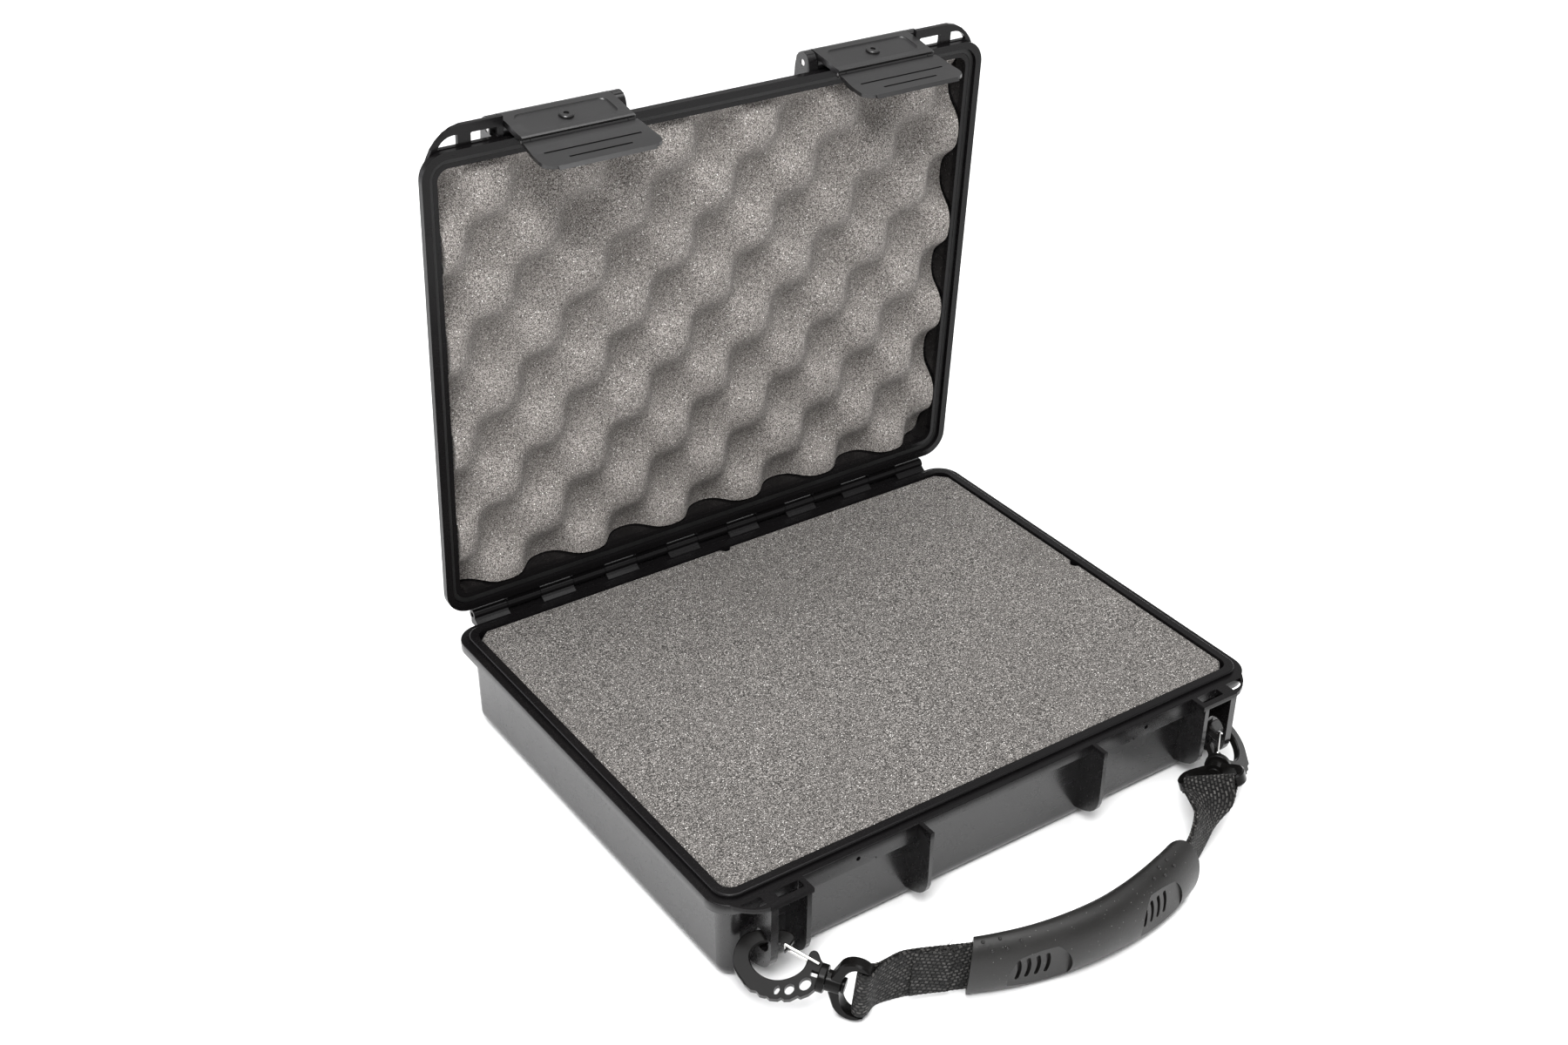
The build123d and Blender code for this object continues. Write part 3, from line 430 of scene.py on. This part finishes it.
def pluck_block():
    o = remeshed("foam_pluck_block", "base_pick_out_foam", (1.25) * MM, foam_dark)
    me = o.data
    co = np.zeros(len(me.vertices) * 3)
    me.vertices.foreach_get("co", co)
    p = co.reshape(-1, 3) / MM
    top = p[:, 2] > 56.6
    # each pre-cut column stands a touch higher or lower than the next
    i = np.floor((p[:, 0] + 165) / 15).astype(int)
    j = np.floor((p[:, 1] + 127.5) / 15).astype(int)
    tab = rng.normal(0, 0.10, (60, 60))
    fx = ((p[:, 0] + 165) / 15) % 1.0
    fy = ((p[:, 1] + 127.5) / 15) % 1.0
    edge = np.minimum.reduce([fx, 1 - fx, fy, 1 - fy]) * 15
    slit = np.exp(-(edge / 0.7) ** 2)
    wave = np.array([noise.noise(Vector((a * 0.012, b * 0.012, 0.5))) for a, b, _ in p])
    edge_in = np.minimum(168.9 - np.abs(p[:, 0]), 130.4 - np.abs(p[:, 1]))
    fade = np.clip(edge_in / 6, 0, 1)
    dz = tab[i % 60, j % 60] - 0.32 * slit + 0.35 * wave - 0.25
    p[top, 2] += (dz * fade)[top]
    me.vertices.foreach_set("co", (p * MM).ravel())
    me.update()
    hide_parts("foam_pluck_block")
    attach(o, "base")
    pad = remeshed("foam_base_pad", "base_bottom_foam", (3) * MM, foam_dark)
    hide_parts("foam_base_pad")
    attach(pad, "base")


pluck_block()


# ---------------------------------------------------------------------------
# webbing of the handle: one closed loop, sewn, round both eyes and through the grip
# ---------------------------------------------------------------------------
def unit(v):
    v = np.array(v, float)
    return v / np.linalg.norm(v)


def hook_plane(o, a, b):
    x = unit(a)
    y = np.array(b, float)
    y = unit(y - x * x.dot(y))
    return np.array(o, float), x, y, np.cross(x, y)


HOOKS = {
    "left": hook_plane((-154.7, -143.6, 30.0), (0.7943, -0.6073, 0.0183), (0.5359, 0.7145, 0.4498)),
    "right": hook_plane((154.7, -143.6, 30.0), (-0.878, -0.323, 0.353), (-0.043, 0.788, 0.614)),
}


def eye_frame(tag):
    o, x, y, z = HOOKS[tag]
    at = o + x * 28.5 - y * 19.6
    a = unit(x * 0.954 - y * 0.300)
    want = np.array((0, 0, 1.0)) if tag == "left" else np.array((0.52, -0.76, 0.38))
    b = unit(want - a * a.dot(want))
    return at, a, b


GRIP_R, GRIP_MID, GRIP_ENDS, GRIP_ROLL, GRIP_Z = 181.9, (1.25, -221.0), (-24.6, 19.6), 13.0, 17.0


def grip_centre(deg):
    a = math.radians(deg)
    return np.array((GRIP_MID[0] + GRIP_R * math.sin(a), GRIP_MID[1] + GRIP_R * (1 - math.cos(a)), GRIP_Z))


def grip_dir(deg):
    a = math.radians(deg)
    return np.array((math.cos(a), math.sin(a), 0.0))


def grip_up(deg):
    t = min(max((deg + 3.0) / 16.0, 0.0), 1.0)
    roll = math.radians(GRIP_ROLL) * t * t * (3 - 2 * t)
    f = grip_dir(deg)
    return np.array((-f[1] * math.sin(roll), f[0] * math.sin(roll), math.cos(roll)))


def smooth_line(pts, n):
    """Catmull-Rom through the points, evenly spaced."""
    p = [np.array(q, float) for q in pts]
    p = [2 * p[0] - p[1]] + p + [2 * p[-1] - p[-2]]
    out = []
    for k in range(1, len(p) - 2):
        for t in np.linspace(0, 1, 24, endpoint=False):
            a, b, c, d = p[k - 1:k + 3]
            out.append(0.5 * ((2 * b) + (c - a) * t + (2 * a - 5 * b + 4 * c - d) * t * t + (3 * b - a - 3 * c + d) * t ** 3))
    out.append(p[-2])
    out = np.array(out)
    s = np.r_[0, np.cumsum(np.linalg.norm(np.diff(out, axis=0), axis=1))]
    u = np.linspace(0, s[-1], n)
    return np.stack([np.interp(u, s, out[:, k]) for k in range(out.shape[1])], -1)


def middle_line():
    """Centre of the doubled strap from the left bar to the right one: point and width direction."""
    rows = []
    for tag, side in (("left", -1), ("right", 1)):
        at, a, b = eye_frame(tag)
        c = at + a * 20.5
        end = grip_centre(GRIP_ENDS[0 if side < 0 else 1])
        z = np.array((0, 0, 1.0))
        if tag == "left":
            pts = [end, (-84.2, -200.2, 17.2), (-95.0, -195.4, 17.6), (-107.0, -191.4, 18.3), (-118.5, -190.6, 18.9), c]
            ws = [z, z, z, z, b, b]
        else:
            lean = grip_up(GRIP_ENDS[1])
            pts = [end, (73.5, -206.0, 17.2), (85.0, -200.2, 18.6), (95.8, -193.8, 22.4), (103.5, -187.9, 27.0), (109.0, -183.2, 29.6), c]
            ws = [lean, lean, z * 0.95 - b * 0.30, z * 0.88 - b * 0.48, z * 0.66 - b * 0.75, z * 0.15 - b * 0.99, -b]
        seg = [np.r_[np.array(q, float), unit(w)] for q, w in zip(pts, ws)]
        rows.append(seg)
    left = rows[0][::-1]
    right = rows[1]
    mid = [np.r_[grip_centre(d), grip_up(d)] for d in np.linspace(*GRIP_ENDS, 13)[1:-1]]
    return smooth_line(left + mid + right, 420)


LINE = middle_line()
STRAP_W, LAYER = 28.6, 1.55


def ribbon(name, centre, width_dir, normal, width, thick, mat, closed=False, nu=14, u0=0.0, gather=None):
    """A flat woven band. UV is in mm: u along it and v across it."""
    n = len(centre)
    s = np.r_[0, np.cumsum(np.linalg.norm(np.diff(centre, axis=0), axis=1))] + u0
    ring = []
    for k in range(nu + 1):
        ring.append((-width / 2 + width * k / nu, thick / 2))
    for k in range(nu, -1, -1):
        ring.append((-width / 2 + width * k / nu, -thick / 2))
    ring = np.array(ring)
    # rounded selvages
    inset = np.where(np.abs(ring[:, 0]) > width / 2 - 0.01, 0.55, 1.0)
    m = len(ring)
    verts = []
    for k in range(n):
        fray = 0.12 * math.sin(s[k] * 2.7) + 0.1 * noise.noise(Vector((s[k] * 0.5, 1.0, 0)))
        for (w, t), f in zip(ring, inset):
            ww = w + (fray if abs(w) > width / 2 - 0.01 else 0.0) * np.sign(w)
            if gather is not None:
                ww *= gather[k]
            verts.append(centre[k] + width_dir[k] * ww + normal[k] * t * f)
    faces, uvs = [], []
    cnt = n if closed else n - 1
    for k in range(cnt):
        k2 = (k + 1) % n
        sa = s[k]
        sb = s[k2] if k2 else s[-1] + np.linalg.norm(centre[0] - centre[-1])
        for q in range(m):
            q2 = (q + 1) % m
            faces.append((k * m + q, k * m + q2, k2 * m + q2, k2 * m + q))
            side = 0 if q < nu + 1 else 40.0
            uvs.append([(sa, ring[q][0] + side), (sa, ring[q2][0] + side), (sb, ring[q2][0] + side), (sb, ring[q][0] + side)])
    if not closed:
        faces.append(tuple(range(m)))
        uvs.append([(s[0], ring[q][0]) for q in range(m)])
        faces.append(tuple((n - 1) * m + q for q in range(m))[::-1])
        uvs.append([(s[-1], ring[q][0]) for q in range(m)][::-1])
    o = add_mesh(name, np.array(verts) * MM, faces, mat)
    layer = o.data.uv_layers.new(name="weave")
    flat = [c for f in uvs for c in f]
    layer.data.foreach_set("uv", np.array(flat, float).ravel())
    bm = bmesh.new()
    bm.from_mesh(o.data)
    bmesh.ops.recalc_face_normals(bm, faces=bm.faces)
    bm.to_mesh(o.data)
    bm.free()
    return o


def strap():
    c = LINE[:, :3]
    w = np.array([unit(q) for q in LINE[:, 3:]])
    d = np.gradient(c, axis=0)
    d = d / np.linalg.norm(d, axis=1)[:, None]
    w = np.array([unit(a - b * b.dot(a)) for a, b in zip(w, d)])
    nrm = np.cross(w, d)
    off = LAYER / 2 + 0.06
    R = 2.6 + 0.12 + LAYER / 2            # centre line of the webbing round the bar
    # one face out along the strap, round the right bar, back on the other face, round the left bar
    s = np.r_[0, np.cumsum(np.linalg.norm(np.diff(c, axis=0), axis=1))]
    total = s[-1]
    end = 10.0                            # where the layers part to go round the bar
    def spread(dist):
        # half distance between the layers, dist from the bar's centre
        t = np.clip(dist / end, 0, 1)
        return off + (R - off) * (1 - t * t * (3 - 2 * t))
    keep = (s > 0.6) & (s < total - 0.6)
    idx = np.where(keep)[0]
    path, wid, nor, tight = [], [], [], []

    def bunch(q):
        # beside the right end of the grip the webbing is bunched up
        t = np.clip((total - q - 7.0) / 20.0, 0, 1) if q > total / 2 else 0.0
        return 1.0 - 0.44 * t * t * (3 - 2 * t)
    for k in idx:
        o = spread(min(s[k], total - s[k]))
        path.append(c[k] + nrm[k] * o)
        wid.append(w[k])
        nor.append(nrm[k])
        tight.append(bunch(s[k]))
    for e, k in (("right", len(c) - 1),):
        for a in np.linspace(90, -90, 17)[1:-1]:
            a = math.radians(a)
            r = d[k] * math.cos(a) + nrm[k] * math.sin(a)
            path.append(c[k] + r * R)
            wid.append(w[k])
            nor.append(r)
            tight.append(1.0)
    for k in idx[::-1]:
        o = spread(min(s[k], total - s[k]))
        path.append(c[k] - nrm[k] * o)
        wid.append(w[k])
        nor.append(-nrm[k])
        tight.append(bunch(s[k]))
    for a in np.linspace(-90, 90, 17)[1:-1]:
        a = math.radians(a)
        r = -d[0] * math.cos(a) + nrm[0] * math.sin(a)
        path.append(c[0] + r * R)
        wid.append(w[0])
        nor.append(r)
        tight.append(1.0)
    path, wid, nor = np.array(path), np.array(wid), np.array(nor)
    o = ribbon("handle_webbing", path, wid, nor, STRAP_W, LAYER, web, closed=True, gather=tight)
    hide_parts("handle_strap")
    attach(o, "handle")
    return c, w, nrm, s


def sewn_end(c, w, nrm):
    """The end of the webbing, folded over and sewn to the strap beside the grip, with loose threads."""
    k = np.where((c[:, 0] > -103.0) & (c[:, 0] < -83.5))[0]
    out = -nrm[k]
    lift = 1.25 * LAYER + 0.08
    path = c[k] + out * lift
    o = ribbon("webbing_sewn_end", path, w[k], out, STRAP_W - 1.0, LAYER * 0.5, web, u0=1.3)
    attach(o, "handle")
    threads, faces = [], []
    r = random.Random(11)
    top = [path[-1] + w[k][-1] * (STRAP_W / 2 - 0.8), path[-6] + w[k][-6] * (STRAP_W / 2 - 0.6)]
    for n in range(30):
        a = top[n % 2] + np.array((r.uniform(-3.5, 3.0), r.uniform(-0.6, 1.2), r.uniform(-1.5, 0.3)))
        go = np.array((r.uniform(-0.9, 0.9), r.uniform(-0.5, 0.3), r.uniform(0.5, 1.0)))
        go /= np.linalg.norm(go)
        bend = np.array((r.uniform(-1, 1), r.uniform(-1, 1), r.uniform(-0.9, 0.1)))
        length, thick = r.uniform(3.0, 7.0), r.uniform(0.2, 0.32)
        for q in range(6):
            t = q / 5
            p = a + go * length * t + bend * length * 0.5 * t * t
            side = np.cross(go, (0.3, 0.9, 0.2))
            side /= np.linalg.norm(side)
            other = np.cross(go, side)
            for ang in (0, 120, 240):
                ang = math.radians(ang)
                threads.append(p + (side * math.cos(ang) + other * math.sin(ang)) * thick * (1 - 0.6 * t))
        base = n * 18
        for q in range(5):
            for e in range(3):
                e2 = (e + 1) % 3
                faces.append((base + q * 3 + e, base + q * 3 + e2, base + q * 3 + 3 + e2, base + q * 3 + 3 + e))
        faces.append((base, base + 2, base + 1))
        faces.append((base + 15, base + 16, base + 17))
    f = add_mesh("webbing_loose_threads", np.array(threads) * MM, faces, thread_mat)
    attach(f, "handle")


thread_mat = rubber("thread", (0.022, 0.021, 0.020), 0.6)
line = strap()
sewn_end(*line[:3])


# ---------------------------------------------------------------------------
# floor, light, camera
# ---------------------------------------------------------------------------
me = bpy.data.meshes.new("floor")
me.from_pydata([(-6, -6, 0), (6, -6, 0), (6, 6, 0), (-6, 6, 0)], [], [(0, 1, 2, 3)])
floor = bpy.data.objects.new("floor", me)
scene.collection.objects.link(floor)
floor.location.z = -0.0002
fm = Mat("floor", Roughness=0.9)
fm.set("Base Color", fm.ramp(fm.noise(fm.coords(), 3, 2), [(0.3, (0.93, 0.93, 0.93)), (0.7, (0.95, 0.95, 0.95))]))
me.materials.append(fm.m)

world = bpy.data.worlds.new("studio")
scene.world = world
world.use_nodes = True
wt = world.node_tree
bg = wt.nodes["Background"]
sky = wt.nodes.new("ShaderNodeTexCoord")
split = wt.nodes.new("ShaderNodeSeparateXYZ")
wt.links.new(sky.outputs["Generated"], split.inputs[0])
grad = wt.nodes.new("ShaderNodeValToRGB")
el = grad.color_ramp.elements
el[0].position, el[0].color = 0.0, (1.0, 1.0, 1.0, 1)
el[1].position, el[1].color = 1.0, (0.62, 0.62, 0.63, 1)
for pos, v in ((0.12, 1.0), (0.3, 0.55), (0.55, 0.42)):
    e = el.new(pos)
    e.color = (v, v, v, 1)
wt.links.new(split.outputs["Z"], grad.inputs["Fac"])
wt.links.new(grad.outputs["Color"], bg.inputs["Color"])
bg.inputs["Strength"].default_value = 1.15


def area(name, at, to, size, power, colour=(1, 1, 1)):
    l = bpy.data.lights.new(name, "AREA")
    l.shape = "RECTANGLE"
    l.size, l.size_y = size
    l.energy = power
    l.color = colour
    o = bpy.data.objects.new(name, l)
    scene.collection.objects.link(o)
    o.location = at
    o.rotation_euler = (Vector(to) - Vector(at)).to_track_quat("-Z", "Y").to_euler()
    return o


area("top", (0.1, 0.0, 2.8), (0, 0, 0), (2.8, 2.4), 100)
area("key", (-1.0, -1.1, 1.9), (0, 0.1, 0.15), (0.8, 0.7), 44)
area("left", (-1.6, 1.2, 0.42), (-0.18, 0, 0.03), (1.0, 0.6), 6, (0.93, 0.91, 1.0))

cam = bpy.data.cameras.new("camera")
camera = bpy.data.objects.new("camera", cam)
scene.collection.objects.link(camera)
right = Vector((0.8134387, -0.5811064, 0.0251558))
up = Vector((0.2862164, 0.4375498, 0.8524262))
fwd = Vector((0.5063572, 0.6861964, -0.5222421))
m = Matrix((right, up, -fwd)).transposed().to_4x4()
m.translation = Vector((-0.5751648, -0.7564726, 0.7237498))
camera.matrix_world = m
cam.sensor_width = 36.0
cam.lens = 2327.7685 * 36.0 / 1800.0
cam.shift_x = -(953.173 - 900.0) / 1800.0
cam.shift_y = (602.642 - 600.0) / 1800.0
cam.clip_start, cam.clip_end = 0.05, 30
scene.camera = camera

scene.view_settings.view_transform = "Standard"
scene.view_settings.look = "None"
